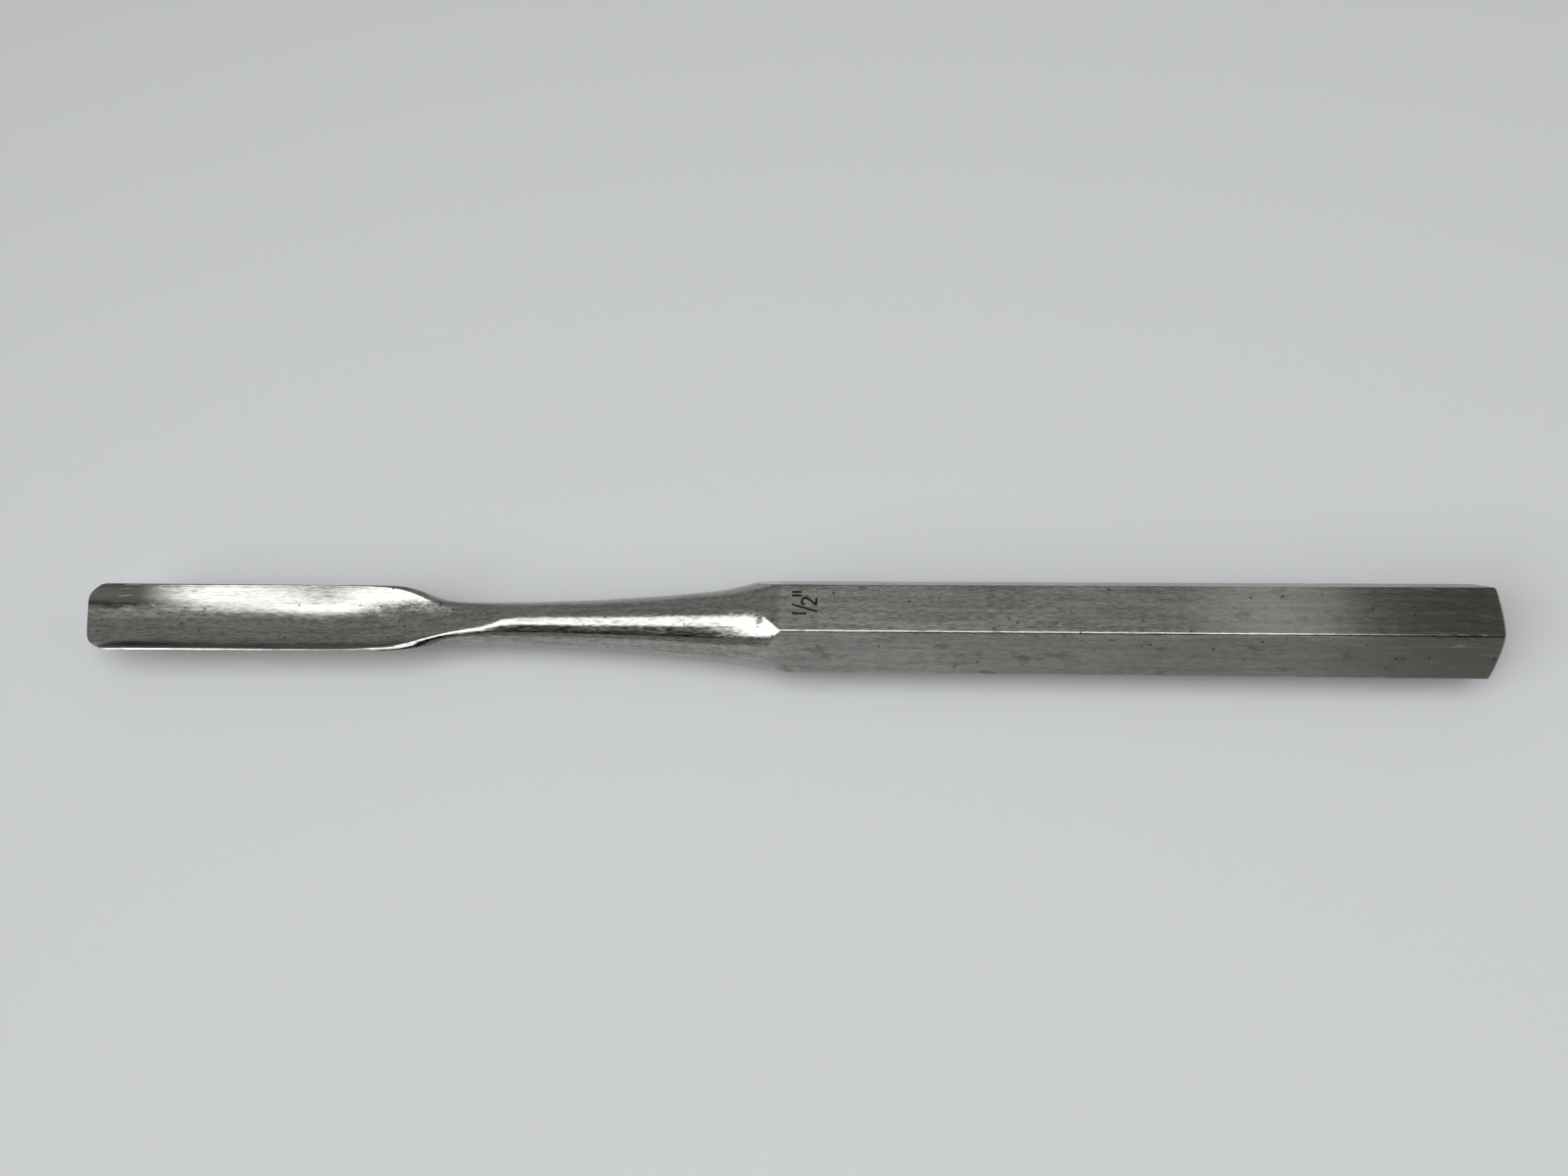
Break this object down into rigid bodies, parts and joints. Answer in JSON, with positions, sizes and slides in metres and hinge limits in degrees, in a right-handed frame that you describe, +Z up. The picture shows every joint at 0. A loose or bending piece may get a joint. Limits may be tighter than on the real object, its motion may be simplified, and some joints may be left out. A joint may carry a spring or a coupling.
{
  "type": "bone gouge",
  "caption": "Straight one-piece steel bone gouge: trough-shaped blade with a bevelled end, round neck and hexagonal handle with a domed butt to strike.",
  "frame": {"origin": "on the surface that the handle's lower flat rests on, half way between the cutting edge and the butt", "axes": "+X along the bar from the cutting edge to the butt, +Z up out of the trough's open side, +Y across"},
  "size_m": [0.2414, 0.017, 0.0148],
  "materials": {
    "steel": "satin stainless steel, ground lengthwise, brighter in the trough and on the neck, with fine scratches, pits and grey-brown handling stains"
  },
  "bodies": {
    "root": {"gouge": "steel"}
  },
  "joints": []
}
